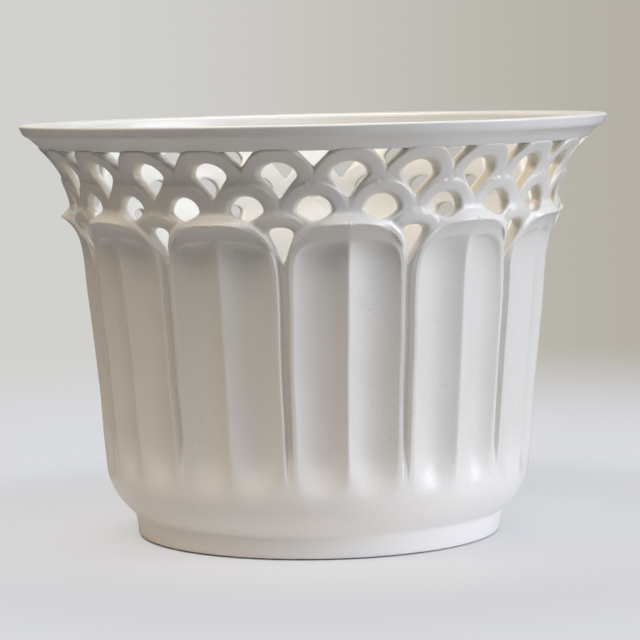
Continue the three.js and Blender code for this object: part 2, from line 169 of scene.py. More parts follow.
class Arch:
    """A round-shouldered arch over a base line, by half width, height and squareness."""

    def __init__(self, half_width, height, power, base=SPRING):
        self.half_width, self.height, self.power, self.base = half_width, height, power, base

    def at(self, angles):
        turn = np.radians(np.asarray(angles, float))
        share = 2 / self.power
        s = self.half_width * np.abs(np.sin(turn)) ** share
        z = self.base + self.height * np.maximum(np.cos(turn), 0) ** share
        return np.stack([s, z], -1)

    def half_width_at(self, z):
        rise = clamp01((np.asarray(z, float) - self.base) / self.height)
        return self.half_width * (1 - rise**self.power) ** (1 / self.power)

    def height_at(self, s):
        share = clamp01(np.asarray(s, float) / self.half_width)
        return self.height * (1 - share**self.power) ** (1 / self.power)

    def angle_at(self, rise):
        return math.degrees(math.acos((rise / self.height) ** (self.power / 2)))

    def shrunk(self, by):
        return Arch(self.half_width - by, self.height - by, self.power, self.base)

    def scaled(self, share):
        return Arch(self.half_width * share, self.height * share, self.power, self.base)

    def towards(self, other, share):
        pairs = zip((self.half_width, self.height, self.power), (other.half_width, other.height, other.power))
        return Arch(*[a + (b - a) * share for a, b in pairs])


PETAL_EDGE = Arch(HALF_PITCH - GROOVE_WIDTH / 2, PETAL_ARCH, PETAL_SQUARENESS)
PETAL_FACE = Arch(PETAL_EDGE.half_width - LEDGE_SIDE, PETAL_ARCH - LEDGE_TOP, LEDGE_SQUARENESS)
FLUTE = Arch(PETAL_EDGE.half_width - FLUTE_BORDER, PETAL_ARCH - FLUTE_TOP_BORDER, FLUTE_SQUARENESS)
SEAM_ANGLE = PETAL_EDGE.angle_at(SEAM - SPRING)

# Angles along the arches, in degrees: closely spaced by the ridge, and shared by petals and gallery
OVER_PETAL = [0, 0.05, 0.2, 0.5, 1.1, 2, 3.4, 5.2, 7.4, 10, 13, 16.5, 20, 24, 28, 32, 35.5, 39]
BESIDE_PETAL = [42, 45.5, 49, 52.5, 56, 59.5, 63, 66.5, 70, 73, 76, 79, SEAM_ANGLE]
BELOW_SEAM = [84, 87, 90]


def face_radius(s, z):
    """The petal's face before its lip is rounded over."""
    s, z = np.asarray(s, float), np.asarray(z, float)
    from_ridge = np.sqrt(s**2 + RIDGE_SOFTNESS**2) - RIDGE_SOFTNESS
    face = cone(z) - shoulder(z) + LIP_CURL * np.exp((z - LIP_HEIGHT) / CURL_HEIGHT)

    def across(half_width):
        return np.minimum(from_ridge / np.maximum(half_width, 1e-6), 1)

    share = across(FLUTE.half_width)
    ends = fade(z - FLUTE_ROUND * (2 * share - 1) ** 2)
    rise = clamp01(np.maximum(z - SPRING, 0) / np.maximum(FLUTE.height_at(s), 1e-6))
    flute = FLUTE_DEPTH * 4 * share * (1 - share) * ends * (1 - rise**FLUTE_BLUNTNESS) ** FLUTE_END
    share = across(PETAL_FACE.half_width_at(z))
    return face - flute - fade(z) * HALF_PETAL_HOLLOW * 4 * share * (1 - share)


class Patch:
    """A patch of wall: corners with their place and a value for pooled glaze or, where negative, painted
    ledge light, and faces that look outwards.
    """

    def __init__(self):
        self.points, self.faces, self.numbers = [], [], {}

    def corner(self, s, z, r, pool_and_ledge_light=0.0):
        key = tuple(round(value * CORNERS_PER_MM) for value in (s, z, r))
        if key not in self.numbers:
            self.numbers[key] = len(self.points)
            self.points.append((s, z, r, pool_and_ledge_light))
        return self.numbers[key]

    def row(self, s, z, r, pool_and_ledge_light=0.0):
        s, z, r, pool_and_ledge_light = np.broadcast_arrays(s, z, r, pool_and_ledge_light)
        return [self.corner(*map(float, p)) for p in zip(s, z, r, pool_and_ledge_light)]

    def face(self, *corners):
        kept = [c for i, c in enumerate(corners) if c != corners[i - 1]]
        if len(set(kept)) >= 3:
            self.faces.append(tuple(kept))

    def strips(self, rows):
        """Fills between rows of equal length, each above or inside the one before."""
        for low, high in zip(rows, rows[1:]):
            for i in range(len(low) - 1):
                self.face(low[i], low[i + 1], high[i + 1], high[i])

    def zip_rows(self, low, high):
        """Fills between two rows with different numbers of corners, matched by their place s."""
        i = j = 0

        def place(number):
            return self.points[number][0]

        while i < len(low) - 1 or j < len(high) - 1:
            next_low = place(low[i]) + place(low[i + 1]) if i < len(low) - 1 else math.inf
            next_high = place(high[j]) + place(high[j + 1]) if j < len(high) - 1 else math.inf
            if next_low <= next_high:
                self.face(low[i], low[i + 1], high[j])
                i += 1
            else:
                self.face(low[i], high[j + 1], high[j])
                j += 1

    def both_halves(self):
        """The mirror image is added, so that the patch spans one whole petal."""
        half = len(self.points)
        mirror = []
        for s, z, r, pool_and_ledge_light in self.points[:half]:
            mirror.append(self.corner(-s if s else 0.0, z, r, pool_and_ledge_light))
        self.faces += [tuple(mirror[c] for c in reversed(face)) for face in list(self.faces)]

    def mesh(self, name):
        points = np.array(self.points)
        turn = points[:, 0] / NECK_RADIUS
        place = np.stack([points[:, 2] * np.sin(turn), -points[:, 2] * np.cos(turn), points[:, 1]], -1)
        mesh = bpy.data.meshes.new(name)
        mesh.from_pydata((place * MM).tolist(), [], self.faces)
        inside = points[:, 2] < wall_radius(points[:, 1]) - LINING_DEPTH * WALL
        for label, values in (("pool_and_ledge_light", points[:, 3]), ("inside", inside)):
            layer = mesh.attributes.new(label, "FLOAT", "POINT")
            layer.data.foreach_set("value", values.astype(np.float32))
        mesh.update()
        return mesh


# Petal wall

GROOVE_PLACES = [0.12, 0.3, 0.55, 0.8, 1.0]  # from a petal's edge to the middle of the groove
LEVELS = np.array(
    [FOOT_HEIGHT, 11, 11.8, 13, 14.5, 16, 17.6, 19.2, 20.8, 22.4, 23.8, 25, 26.2, 27.4, 28.6, 29.8, 31]
    + [32.2, 33.4, 34.6, 36, 37.4, 38.8, 40.2, 42, 44, 46.5, 50, 56, 63, 70, 78, 86, 93, 100, SPRING]
)
OVER_FLUTES = [0, 0.018, 0.036, 0.06, 0.09, 0.13, 0.18, 0.24, 0.31, 0.39, 0.47, 0.55, 0.63, 0.71, 0.79, 0.86]
OVER_FLUTES += [0.92, 0.965]  # shares of the way from the ridge to the flutes' border
OVER_BORDER = [0, 0.06, 0.16, 0.32, 0.5, 0.66, 0.8, 0.9, 0.96]
OVER_LEDGE = [0, 0.08, 0.2, 0.4, 0.62, 0.82, 1]
FAR_FROM_LEDGE = -9.0  # the ledge place of anything on the flutes


def across_groove(edge, places=GROOVE_PLACES):
    return edge + np.array([0, *places]) * (HALF_PITCH - edge)


def petal_rings():
    """Arches from the petal's middle to its edge, each with its place on the ledge.

    The place is 0 at the lip and 1 at the plain wall, and it is negative on the petal's face.
    """
    rings = [(FLUTE.scaled(share), FAR_FROM_LEDGE) for share in OVER_FLUTES]
    ledge = PETAL_EDGE.half_width - PETAL_FACE.half_width
    band = PETAL_FACE.half_width - FLUTE.half_width
    for share in OVER_BORDER:
        rings.append((FLUTE.towards(PETAL_FACE, share), -(1 - share) * band / ledge))
    for share in OVER_LEDGE:
        rings.append((PETAL_FACE.towards(PETAL_EDGE, share), share))
    return rings


def fillet(z, away):
    """How far the ledge's fillet stands on the gallery, at a distance from a petal's edge at height z."""
    return FILLET_HEIGHT * smoothstep(z, SEAM + 2, SEAM + 15) * clamp01(1 - away / FILLET_REACH) ** 2


def petal_radius(s, z, place, lip):
    """The petal's face, rounded over at its lip into the ledge that drops to the plain wall.

    On the face the ledge is taken to climb away, so that it is never the lower of the two there.
    """
    face = face_radius(s, z)
    inward = np.clip(1 - place, 0, 1)
    foot = fillet(z, 0)
    slope = 2 * foot * LEDGE_TOP / FILLET_REACH
    ledge = wall_radius(z) + foot + slope * inward + (lip - foot - slope) * inward**LEDGE_HOLLOW
    ledge = ledge + (2 * lip + 0.4) * np.maximum(-place, 0)
    soft = np.minimum(LIP_SOFTNESS, 0.22 * lip) + 1e-3
    lower = np.minimum(face, ledge)
    radius = lower - soft * np.log(np.exp((lower - face) / soft) + np.exp((lower - ledge) / soft))
    return np.where(place >= 0, np.maximum(radius, wall_radius(z) + foot), radius)


def narrowed(s, z):
    """Place of a corner beside the straight part: the grooves grow narrower towards their feet."""
    narrower = GROOVE_NARROWS * (1 - smoothstep(z, FADE_FROM + 4, GROOVE_FULL_FROM))
    beside = clamp01((s - FLUTE.half_width) / (PETAL_FACE.half_width - FLUTE.half_width))
    room = np.minimum(HALF_PITCH - s, HALF_PITCH - PETAL_FACE.half_width)
    return s + beside * room * narrower


def petal_patch():
    patch = Patch()
    rings = petal_rings()

    # Straight part, with half a groove beside it
    lip = np.maximum(face_radius(PETAL_FACE.half_width, LEVELS) - wall_radius(LEVELS), 0)
    columns = []
    for arch, place in rings:
        radius = petal_radius(arch.half_width, LEVELS, place, lip)
        pool = POOL_AT_LEDGE * clamp01(place) ** 2 * groove_fade(LEVELS)
        columns.append(patch.row(narrowed(arch.half_width, LEVELS), LEVELS, radius, pool))
    for s, share in zip(across_groove(PETAL_EDGE.half_width)[1:], GROOVE_PLACES):
        pool = groove_pool(share) * groove_fade(LEVELS)
        columns.append(patch.row(narrowed(s, LEVELS), LEVELS, wall_radius(LEVELS), pool))
    straight = [list(row) for row in zip(*columns)]
    patch.strips(straight)

    # Round top
    angles = OVER_PETAL + BESIDE_PETAL + BELOW_SEAM
    s, z = PETAL_FACE.at(angles).T
    lip = np.maximum(face_radius(s, z) - wall_radius(z), 0.05)
    nested = []
    for arch, place in rings:
        s, z = arch.at(angles).T
        # Painted light: over the round top the ledge gets a negative value, which whitens it
        ledge_light = smoothstep(place, -0.4, 0.3) * near_top(z)
        pool = POOL_AT_LEDGE * clamp01(place) ** 2
        radius = petal_radius(s, z, place, lip)
        nested.append(patch.row(s, z, radius, pool * (1 - ledge_light) - ledge_light))
    patch.strips(nested)

    # Top of the groove, up to the seam with the gallery
    edge = PETAL_EDGE.at([SEAM_ANGLE, *BELOW_SEAM])[::-1]
    pools = groove_pool([0, *GROOVE_PLACES])
    groove = [patch.row(across_groove(s), z, wall_radius(z), pools) for s, z in edge]
    patch.strips(groove)

    # Lining
    first = len(patch.faces)
    corner = inner_radius(FLOOR_TOP + COVE_RADIUS) - COVE_RADIUS
    arches = [FLUTE.scaled(share) for share in [0, 0.3, 0.6, 0.85]] + [PETAL_FACE, PETAL_EDGE]
    turns = np.radians([0, 15, 30, 45, 60, 75])
    cove = np.stack([FLOOR_TOP + COVE_RADIUS * (1 - np.cos(turns)), corner + COVE_RADIUS * np.sin(turns)], -1)
    heights = np.array([FLOOR_TOP + COVE_RADIUS, 27.5, 30, 33, 36, 38.5, 41, 44, 48, 56, 68, 80, 94, SPRING])
    upright = np.stack([heights, inner_radius(heights)], -1)
    profile = np.concatenate([[[FLOOR_TOP - 3, corner]], cove, upright])
    across = [arch.half_width for arch in arches] + [HALF_PITCH]
    lining = [patch.row(np.array(across), z, r, POOL_INSIDE) for z, r in profile]
    outer_bottom = straight[0]
    bottom = patch.row(np.array([patch.points[c][0] for c in outer_bottom]), FOOT_HEIGHT, corner)
    patch.zip_rows(bottom, lining[0])
    patch.strips(lining)
    lining_top = []
    for arch in arches:
        s, z = arch.at(angles).T
        lining_top.append(patch.row(s, z, inner_radius(z), POOL_INSIDE))
    patch.strips(lining_top)
    lining_groove = [patch.row(across_groove(s, [1.0]), z, inner_radius(z), POOL_INSIDE) for s, z in edge]
    patch.strips(lining_groove)
    patch.faces[first:] = [tuple(reversed(face)) for face in patch.faces[first:]]

    # Edges under the body, behind the gallery and along the seam
    patch.strips([bottom, outer_bottom])
    shared = len(OVER_PETAL + BESIDE_PETAL)
    patch.strips([nested[-1][:shared], lining_top[-1][:shared]])
    patch.zip_rows(groove[-1], lining_groove[-1])
    patch.both_halves()
    return patch


# Gallery of pierced scales


def soft_outline(corners, softness):
    """A closed outline through the corners, evenly spaced and with its corners rounded."""
    corners = np.array([*corners, corners[0]])
    lengths = np.concatenate([[0], np.cumsum(np.hypot(*np.diff(corners, axis=0).T))])
    count = 480
    steps = np.arange(count)
    even = np.stack([np.interp(steps * lengths[-1] / count, lengths, axis) for axis in corners.T], -1)
    away = np.minimum(steps, count - steps) * lengths[-1] / count
    weight = np.exp(-((away / softness) ** 2))
    spectrum = np.fft.fft(weight / weight.sum())[:, None]
    return np.fft.ifft(np.fft.fft(even, axis=0) * spectrum, axis=0).real


def crown_of(middle, waist, half_width, rise, power=2.0):
    turns = np.radians(np.linspace(0, 180, 37))
    s = middle + half_width * np.sign(np.cos(turns)) * np.abs(np.cos(turns)) ** (2 / power)
    return list(zip(s, waist + rise * np.sin(turns) ** (2 / power)))


HOLE_WEB = 12.1  # clay between two neighbouring holes of one row
HOLE_HALF_WIDTH = (HALF_PITCH - HOLE_WEB) / 2
FAN_WAIST, FAN_CROWN, FAN_TIP = 150.2, 5.6, 141.9
FAN_TAIL_CURVE, ROUND_TAIL_CURVE = 1.15, 0.62  # 1 is straight sided, and less is rounder
ROUND_WAIST, ROUND_CROWN, ROUND_TAIL = 136.7, 6.2, 3.6
POINTED_WAIST, POINTED_CROWN, POINTED_TIP = 128.0, 2.9, 117.0
POINTED_HALF_WIDTH = 5.0
NOTCH_TIP, NOTCH_HALF_WIDTH = 154.4, 5.5
GALLERY_REACH = 160.7  # the gallery's top edge, inside the rim
HOLE_SOFTNESS, NOTCH_SOFTNESS = 0.9, 0.7
CROSSING, STRAP_FOOT, STRAP_TOP, BRANCH = 139.3, 133.0, 145.3, 150.4  # heights where straps meet
ROUND_CENTRE, POINTED_CENTRE, NOTCH_CENTRE = 137.2, 126.5, 158.5
SCALE_ROWS = [  # middles, waist, half width, rise, how proud the scales stand, height of their foot
    ([0, HALF_PITCH], FAN_WAIST, 13.3, 11.2, 0.9, 148),
    ([MIDDLE], ROUND_WAIST, 12.8, 11.6, 1.15, 138),
    ([HALF_PITCH], POINTED_WAIST, 10.4, 8.4, 1.05, 127),
]
ACROSS_STRAP = [0, 0.12, 0.25, 0.38, 0.51, 0.64, 0.77, 0.89, 1]  # from its middle line to the hole's edge
HOLE_EDGE_TURNS, HOLE_EDGE_POOLS = [28, 52, 72, 90], [0.2, 0.5, 0.8, 1.0]
POOL_ON_STRAP, POOL_IN_HOLE, POOL_BEHIND_HOLE = 0.05, 1.0, 0.6


def tailed_hole(middle, waist, crown, tail, curve, tip, steps):
    """A hole with a round top and a tail that narrows to a tip, given by half its width."""
    left = [
        (middle - tip - (HOLE_HALF_WIDTH - tip) * (1 - f) ** curve, waist - tail * f)
        for f in np.linspace(0, 1, steps)[1:]
    ]
    right = [(2 * middle - s, z) for s, z in reversed(left)]
    return soft_outline(crown_of(middle, waist, HOLE_HALF_WIDTH, crown) + left + right, HOLE_SOFTNESS)


def fan_hole(middle):
    return tailed_hole(middle, FAN_WAIST, FAN_CROWN, FAN_WAIST - FAN_TIP, FAN_TAIL_CURVE, 0.75, 12)


def round_hole(middle):
    return tailed_hole(middle, ROUND_WAIST, ROUND_CROWN, ROUND_TAIL, ROUND_TAIL_CURVE, 0.0, 14)


def pointed_hole(middle):
    tail = [(middle - 0.6, POINTED_TIP), (middle + 0.6, POINTED_TIP)]
    crown = crown_of(middle, POINTED_WAIST, POINTED_HALF_WIDTH, POINTED_CROWN, 2.5)
    return soft_outline(crown + tail, HOLE_SOFTNESS)


def notch_hole(middle):
    top = GALLERY_TOP + 5
    reach = NOTCH_HALF_WIDTH * (top - NOTCH_TIP) / (GALLERY_TOP - NOTCH_TIP)
    corners = [(middle + reach, top), (middle - reach, top), (middle, NOTCH_TIP - 0.4)]
    return soft_outline(corners, NOTCH_SOFTNESS)


def seen_from(centre, outline, toward):
    """Where rays from a hole's centre to the given points cross the hole's outline."""
    turns = np.arctan2(outline[:, 1] - centre[1], outline[:, 0] - centre[0])
    order = np.argsort(turns)
    reach = np.hypot(*(outline - centre).T)
    want = np.arctan2(toward[:, 1] - centre[1], toward[:, 0] - centre[0])
    distance = np.interp(want, turns[order], reach[order], period=2 * math.pi)
    return centre + distance[:, None] * np.stack([np.cos(want), np.sin(want)], -1)


def scale_relief(s, z):
    """How far the scales stand out of the wall, each proudest along its upper edge, where it overlaps."""
    z = np.minimum(z, GALLERY_TOP)

    def scale(middle, waist, half_width, rise, height, foot):
        across = np.abs(s - middle) / half_width
        up = np.maximum(z - waist, 0) / rise
        inside = smoothstep(1 - np.hypot(across, up), -0.01, 0.065)
        tilt = 0.15 + 0.85 * clamp01((z - foot) / (waist + rise - foot))
        return inside, height * tilt

    relief = np.zeros_like(s)
    crease = np.zeros_like(s)
    for middles, waist, half_width, rise, height, foot in SCALE_ROWS:
        for middle in middles:
            inside, stand = scale(middle, waist, half_width, rise, height, foot)
            relief = relief * (1 - inside) + stand * inside
            crease = crease * (1 - inside) + 4 * inside * (1 - inside) * (stand / height)
    return relief, crease


EDGE_LINE = PETAL_EDGE.at(np.linspace(0, SEAM_ANGLE, 120))


def from_petals(s, z):
    """Distance of points of the gallery from the nearest petal's edge, and the height of that edge."""
    best = None
    for across in (s, 2 * HALF_PITCH - s):
        gaps = np.hypot(across[:, None] - EDGE_LINE[:, 0], z[:, None] - EDGE_LINE[:, 1])
        nearest = gaps.argmin(1)
        found = np.stack([gaps.min(1), EDGE_LINE[nearest, 1]])
        best = found if best is None else np.where(found[0] < best[0], found, best)
    return best


def gallery_patch():
    patch = Patch()

    def line(start, end, count):
        return np.linspace(start, end, count + 1)

    def quarter(foot, top, count):
        turns = np.linspace(0, math.pi / 2, count + 1)
        s = top[0] + (foot[0] - top[0]) * np.cos(turns)
        return np.stack([s, foot[1] + (top[1] - foot[1]) * np.sin(turns)], -1)

    def chain(*parts):
        return np.concatenate([parts[0], *[part[1:] for part in parts[1:]]])

    def mirrored(points):
        return np.stack([HALF_PITCH - points[:, 0], points[:, 1]], -1)[::-1]

    over = PETAL_EDGE.at(OVER_PETAL)
    beside = PETAL_EDGE.at([OVER_PETAL[-1], *BESIDE_PETAL])
    seam = np.stack([across_groove(beside[-1][0]), np.full(len(GROOVE_PLACES) + 1, SEAM)], -1)
    crossing, strap_top = (0, CROSSING), (MIDDLE, STRAP_TOP)
    branch, rim_end = (MIDDLE, BRANCH), (5.0, GALLERY_REACH)
    round_strap = quarter(crossing, strap_top, 16)
    web = line(strap_top, branch, 4)
    notch_strap = line(branch, rim_end, 12)
    rim_edge = line(rim_end, (0, GALLERY_REACH), 5)
    pointed_strap = quarter(over[-1], (HALF_PITCH, STRAP_FOOT), 10)

    def cell(hole, centre, outline, joints):
        """Fills between a hole and the lines round it: front, hole wall and back.

        A joint is a stretch of the lines that ends on another piece: its first and last number and, where
        the wall runs in behind that piece, the points where it ends.
        """
        edge = seen_from(np.array(centre), hole, outline)
        span = np.hypot(*(edge - outline).T)
        front = np.minimum(HOLE_EDGE, 0.6 * span)
        back = np.minimum(HOLE_EDGE_INSIDE, 0.5 * span)
        rows = []

        def ring(share, radius_of, pool_and_ledge_light):
            points = outline + (edge - outline) * np.reshape(share, (-1, 1))
            s, z = points.T
            level = np.minimum(z, GALLERY_TOP)
            relief, crease = scale_relief(s, z)
            crown = STRAP_CROWN * (1 - np.clip(share, 0, 1) ** 2)
            away, edge_height = from_petals(s, z)
            settle = smoothstep(away, 0.2, 3.6) * smoothstep(z, SEAM + 1, SEAM + 9)
            outside = wall_radius(level) + settle * (relief + crown) + fillet(edge_height, away)
            inside = inner_radius(level)
            slant = np.hypot(1, wall_slope(level))
            # Painted light: the fillet under a petal's ledge is whitened like the ledge, through a negative
            # tint
            fillet_light = near_top(edge_height) * smoothstep(FILLET_REACH - away, 0.8, 2.2)
            tint = clamp01(pool_and_ledge_light + 0.5 * crease)
            tint = tint * (1 - fillet_light) - fillet_light * (tint < 0.3)
            rows.append(patch.row(s, z, radius_of(outside, inside, slant), tint))

        def tinted(value):
            return np.full_like(span, value)

        for share in ACROSS_STRAP:
            ring(share * (1 - front / span), lambda out, back_of, slant: out, tinted(POOL_ON_STRAP))
        for turn, pool in zip(np.radians(HOLE_EDGE_TURNS), HOLE_EDGE_POOLS):
            drop = front * (1 - math.cos(turn))
            share = 1 - front * (1 - math.sin(turn)) / span
            ring(share, lambda out, back_of, slant: out - drop * slant, tinted(pool))

        def halfway(out, back_of, slant):
            return (out - front * slant + back_of + back * slant) / 2

        ring(np.ones_like(span), halfway, tinted(POOL_IN_HOLE))
        for turn in np.radians([0, 45, 90]):
            rise = back * (1 - math.sin(turn))
            share = 1 - back * (1 - math.cos(turn)) / span
            ring(share, lambda out, back_of, slant: back_of + rise * slant, tinted(POOL_BEHIND_HOLE))
        for share in [0.5, 0]:
            ring(share * (1 - back / span), lambda out, back_of, slant: back_of, tinted(POOL_INSIDE))
        patch.strips(rows)
        for first, last, tucked in joints:
            closing = [rows[-1][first : last + 1], rows[0][first : last + 1]]
            if tucked is not None:
                s, z = tucked.T
                closing.insert(1, patch.row(s, z, inner_radius(z) + 0.4, POOL_INSIDE))
                closing.insert(2, patch.row(s, z, wall_radius(z) - 0.4, 1.0))
            patch.strips(closing)
        return rows

    # Fan-shaped holes, over a petal's middle and over a groove
    fan_line = chain(round_strap, web, notch_strap, rim_edge)
    rim_first = len(fan_line) - len(rim_edge)
    cell(fan_hole(0), (0, FAN_WAIST), fan_line, [(rim_first, len(fan_line) - 1, None)])
    cell(fan_hole(HALF_PITCH), (HALF_PITCH, FAN_WAIST), mirrored(fan_line), [(0, len(rim_edge) - 1, None)])

    # Notches under the rim
    half = notch_strap[::-1]
    rows = cell(notch_hole(MIDDLE), (MIDDLE, NOTCH_CENTRE), chain(half, mirrored(half)), [])
    patch.face(*[row[0] for row in rows])
    patch.face(*[row[-1] for row in reversed(rows)])

    # Round holes over the petals' shoulders
    behind = PETAL_EDGE.shrunk(TUCK_UNDER)
    round_line = chain(
        over,
        pointed_strap,
        line((HALF_PITCH, STRAP_FOOT), (HALF_PITCH, CROSSING), 5),
        mirrored(round_strap)[::-1],
        round_strap[::-1],
        line(crossing, over[0], 4),
    )
    cell(round_hole(MIDDLE), (MIDDLE, ROUND_CENTRE), round_line, [(0, len(over) - 1, behind.at(OVER_PETAL))])

    # Pointed holes over the grooves
    pointed_line = chain(pointed_strap[::-1], beside, seam)
    start = len(pointed_strap) - 1
    turn = start + len(beside) - 1
    low_corner = behind.at(SEAM_ANGLE) - (0, TUCK_UNDER)
    tucked = behind.at([OVER_PETAL[-1], *BESIDE_PETAL])
    tucked[-1] = low_corner
    low_edge = line(low_corner, (HALF_PITCH, low_corner[1]), len(seam) - 1)
    joints = [(start, turn, tucked), (turn, len(pointed_line) - 1, low_edge)]
    cell(pointed_hole(HALF_PITCH), (HALF_PITCH, POINTED_CENTRE), pointed_line, joints)
    patch.both_halves()
    return patch


# Turned pieces: rim, foot and floor, as (radius, height) profiles that end where they begin


def arc(centre, radius, first, last, steps):
    turns = np.radians(np.linspace(first, last, steps + 1))
    return [(centre[0] + radius * math.cos(t), centre[1] + radius * math.sin(t)) for t in turns]


def rim_profile():
    inner = float(inner_radius(GALLERY_TOP))
    cove = [(GALLERY_RADIUS + out, GALLERY_TOP + up) for out, up in [(0.2, 0.0), (1.0, 0.55), (2.2, 1.7)]]
    leaning_face = [(3.4, 5.0), (2.6, 4.75), (1.9, 4.3), (1.35, 3.6), (0.9, 2.8), (0.5, 2.0), (0.2, 1.3)]
    upper_corner = [(0.03, 0.9), (0.0, 0.65), (0.06, 0.42), (0.22, 0.22)]
    upper_corner += [(0.5, 0.08), (0.9, 0.02), (1.4, 0.0)]
    edge = [(RIM_RADIUS - back, HEIGHT - down) for back, down in leaning_face + upper_corner]
    top = [(RIM_RADIUS - back, HEIGHT - down) for back, down in [(4.4, 0.07), (6.6, 0.15), (8.8, 0.2)]]
    inner_edge = arc((inner + 4.4, HEIGHT - 2.3), 2.0, 84, 186, 12)
    return [(inner + 0.3, GALLERY_TOP), *cove, *edge, *top, *inner_edge, (inner + 0.3, GALLERY_TOP)]


def foot_profile():
    inner = FOOT_RADIUS - FOOT_WIDTH
    low = FOOT_RADIUS - FOOT_DRAW_IN
    heel = [(low - 2.4, 0.0), (low - 1.6, 0.35), (low - 0.7, 0.5), (low - 0.2, 0.75), (low, 1.2)]
    side = [(low + 0.2, 3.0), (low + 0.45, 5.0), (FOOT_RADIUS, COVE_FROM)]
    meet = float(wall_radius(FOOT_HEIGHT))
    cove_height = FOOT_HEIGHT - COVE_FROM
    steps = np.linspace(0, 1, 9)
    reach = meet - FOOT_RADIUS
    rise = steps ** max(1.2, float(wall_slope(FOOT_HEIGHT + 0.2)) * cove_height / reach)
    crease = [(FOOT_RADIUS + reach * r, COVE_FROM + cove_height * u) for r, u in zip(rise[1:], steps[1:])]
    inside = arc((inner + 1.0, 1.0), 1.0, 180, 270, 5)
    top = [(meet - 0.6, FOOT_HEIGHT + 0.5)]
    return [(inner, FOOT_HEIGHT + 0.6), *inside, *heel, *side, *crease, *top, (inner, FOOT_HEIGHT + 0.6)]


def floor_profile():
    edge = float(inner_radius(FLOOR_TOP + COVE_RADIUS)) - COVE_RADIUS + 0.6
    top = [(edge, FLOOR_TOP), (edge - 6, FLOOR_TOP - 0.05), (40.0, FLOOR_TOP - 0.3), (0.0, FLOOR_TOP - 0.4)]
    underside = FOOT_HEIGHT + 0.1
    return [(0.0, underside), (40.0, underside), (edge, underside), *top, (0.0, underside)]


def profile_mesh(name, profile):
    mesh = bpy.data.meshes.new(name)
    mesh.from_pydata([(r * MM, 0.0, z * MM) for r, z in profile], [], [])
    return mesh


# Geometry Nodes


class Nodes:
    """Short calls to add nodes to a tree and to link them. A node stands for its first output."""

    def __init__(self, tree):
        self.tree, self.nodes = tree, tree.nodes

    def add(self, kind, settings=None, **values):
        node = self.nodes.new(kind)
        for key, value in (settings or {}).items():
            setattr(node, key, value)
        for key, value in values.items():
            wanted = key.replace("_", " ").lower()
            self.join(value, next(s for s in node.inputs if s.name.lower() == wanted and s.enabled))
        return node

    def join(self, value, socket):
        if isinstance(value, bpy.types.Node):
            value = next(s for s in value.outputs if s.enabled)
        if isinstance(value, bpy.types.NodeSocket):
            self.tree.links.new(value, socket)
        else:
            socket.default_value = value

    def math(self, operation, *values, kind="ShaderNodeMath", **settings):
        node = self.add(kind, {"operation": operation, **settings})
        for value, socket in zip(values, node.inputs):
            self.join(value, socket)
        return node

    def ramp(self, value, low, high, first=0.0, last=1.0, kind="SMOOTHSTEP"):
        node = self.add("ShaderNodeMapRange", {"interpolation_type": kind}, Value=value)
        for key, number in zip(("From Min", "From Max", "To Min", "To Max"), (low, high, first, last)):
            node.inputs[key].default_value = number
        return node


class Tree(Nodes):
    """A geometry tree with named inputs."""

    def __init__(self, name, inputs):
        super().__init__(bpy.data.node_groups.new(name, "GeometryNodeTree"))
        face = self.tree.interface
        face.new_socket("Geometry", in_out="INPUT", socket_type="NodeSocketGeometry")
        for label, kind in inputs:
            face.new_socket(label, in_out="INPUT", socket_type="NodeSocket" + kind)
        face.new_socket("Geometry", in_out="OUTPUT", socket_type="NodeSocketGeometry")
        self.inputs = self.nodes.new("NodeGroupInput")
        self.output = self.nodes.new("NodeGroupOutput")

    def given(self, label):
        return self.inputs.outputs[label]


# Heights in metres between which the kiln's warp and the hand's wobble set in, or die away
KILN_WARP_GROWS = 0.108, 0.166
WOBBLE_GROWS = 0.012, 0.05
WOBBLE_DIES = 0.160, 0.148


def kiln_warp(tree, geometry):
    """Tilts the upper part of the pot a little, as it warped in the kiln."""
    place = tree.add("ShaderNodeSeparateXYZ", Vector=tree.add("GeometryNodeInputPosition"))
    rising = tree.ramp(place.outputs["Z"], *KILN_WARP_GROWS)
    across = tree.math("MULTIPLY", place.outputs["X"], tree.given("Lean Across"))
    back = tree.math("MULTIPLY", place.outputs["Y"], tree.given("Lean Back"))
    rise = tree.math("MULTIPLY", rising, tree.math("ADD", across, back))
    offset = tree.add("ShaderNodeCombineXYZ", Z=rise)
    return tree.add("GeometryNodeSetPosition", Geometry=geometry, Offset=offset)


def hand_wobble(tree, geometry):
    """Moves the wall a little out of true, as in hand work, least at the rim and the foot."""
    place = tree.add("GeometryNodeInputPosition")
    height = tree.add("ShaderNodeSeparateXYZ", Vector=place).outputs["Z"]
    rising = tree.ramp(height, *WOBBLE_GROWS)
    falling = tree.ramp(height, *WOBBLE_DIES)
    noise = tree.add("ShaderNodeTexNoise", {"noise_dimensions": "4D"}, Vector=place)
    tree.join(tree.given("Wobble Scale"), noise.inputs["Scale"])
    tree.join(tree.given("Seed"), noise.inputs["W"])
    noise.inputs["Detail"].default_value = 1.0
    vectors = "ShaderNodeVectorMath"
    centred = tree.math("SUBTRACT", noise.outputs["Color"], (0.5, 0.5, 0.5), kind=vectors)
    amount = tree.math("MULTIPLY", tree.math("MULTIPLY", rising, falling), tree.given("Wobble"))
    offset = tree.add(vectors, {"operation": "SCALE"}, Vector=centred, Scale=amount)
    return tree.add("GeometryNodeSetPosition", Geometry=geometry, Offset=offset)


def finish_tree(tree, geometry):
    warped = kiln_warp(tree, geometry)
    smooth = tree.add("GeometryNodeSetShadeSmooth", {"domain": "FACE"}, Geometry=warped)
    dressed = tree.add("GeometryNodeSetMaterial", Geometry=smooth, Material=tree.given("Material"))
    tree.join(dressed, tree.output.inputs[0])
    return tree.tree


COMMON_INPUTS = [("Lean Across", "Float"), ("Lean Back", "Float"), ("Material", "Material")]


